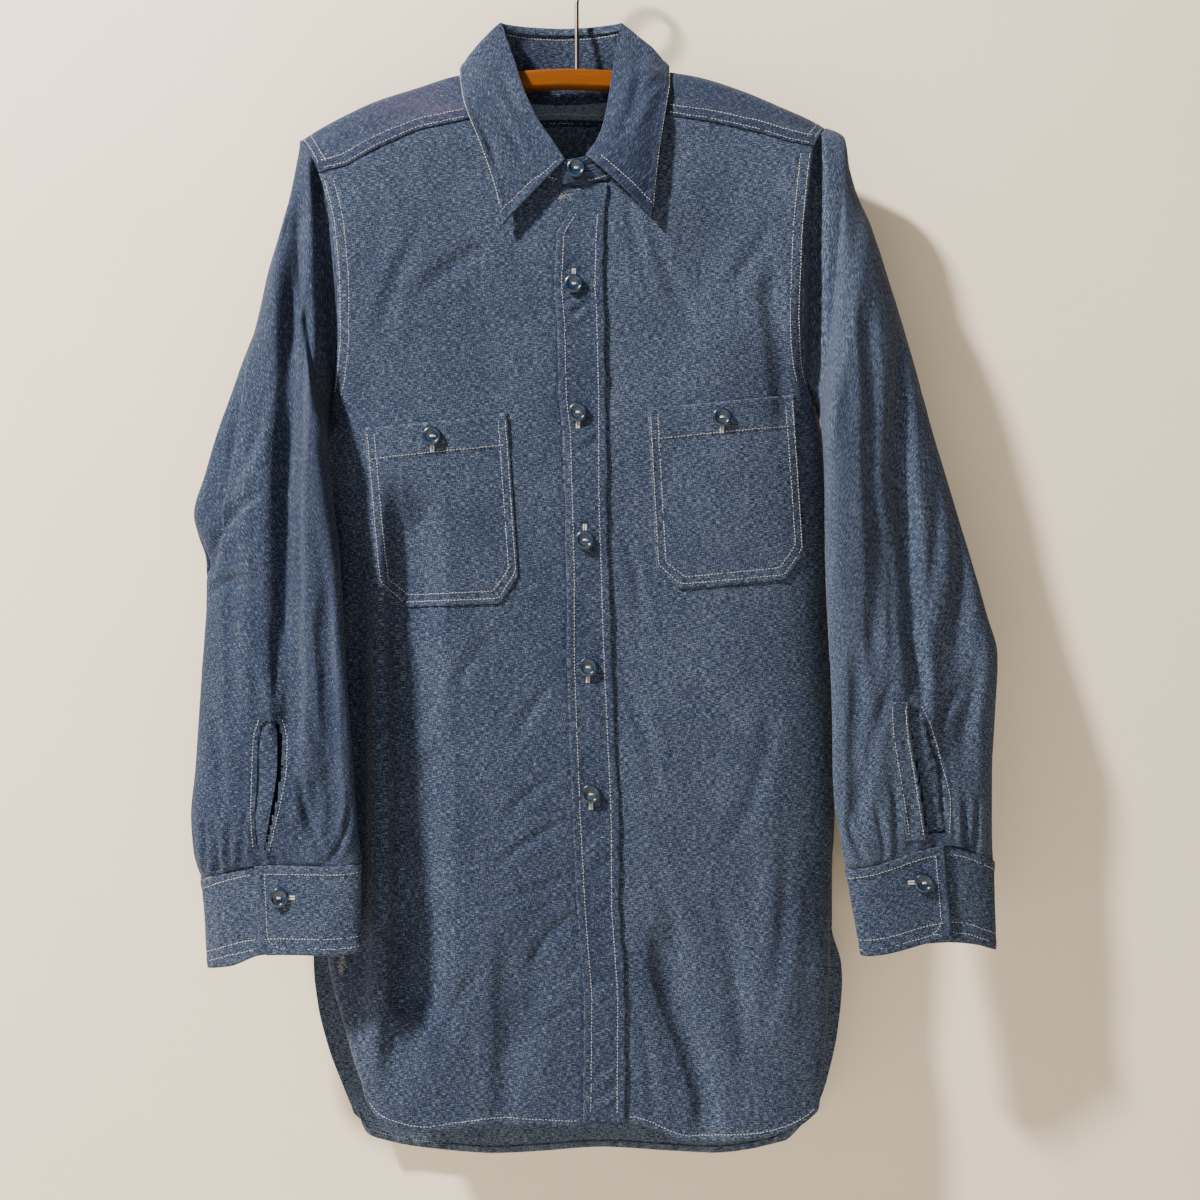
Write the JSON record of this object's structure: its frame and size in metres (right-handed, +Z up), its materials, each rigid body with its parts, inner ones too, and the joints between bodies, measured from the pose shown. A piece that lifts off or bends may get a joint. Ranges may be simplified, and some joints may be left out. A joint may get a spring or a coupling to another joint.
{
  "type": "chambray shirt on a hanger",
  "caption": "Long-sleeved chambray work shirt with a point collar, buttoned placket, chest pockets, buttoned cuffs and curved tails, hanging on a wooden bar hanger.",
  "frame": {"origin": "inner top of the hanger's hook, where it hangs on a rail", "axes": "+X to the viewer's right, the wearer's left; +Y from the front of the shirt to its back; +Z up"},
  "size_m": [0.633, 0.0959, 0.9881],
  "materials": {
    "chambray": "faded, matte plain weave",
    "navy_button": "glossy",
    "hanger_wood": "orange varnish",
    "hook_wire": "dull nickel"
  },
  "bodies": {
    "root": {"front_right": "chambray", "front_left": "chambray", "back": "chambray", "yoke": "chambray", "collar_stand": "chambray", "collar_leaf": "chambray", "front_placket": "chambray", "pocket_right": "chambray", "pocket_left": "chambray", "sleeve_right": "chambray", "sleeve_left": "chambray", "cuff_right": "chambray", "cuff_left": "chambray", "sleeve_placket_right": "chambray", "sleeve_placket_left": "chambray", "sleeve_underlap_right": "chambray", "sleeve_underlap_left": "chambray", "button_front_1": "navy_button", "button_front_2": "navy_button", "button_front_3": "navy_button", "button_front_4": "navy_button", "button_front_5": "navy_button", "button_front_6": "navy_button", "button_pocket_right": "navy_button", "button_pocket_left": "navy_button", "button_cuff_right": "navy_button", "button_cuff_left": "navy_button", "hanger_bar": "hanger_wood", "hanger_hook": "hook_wire"}
  },
  "joints": []
}
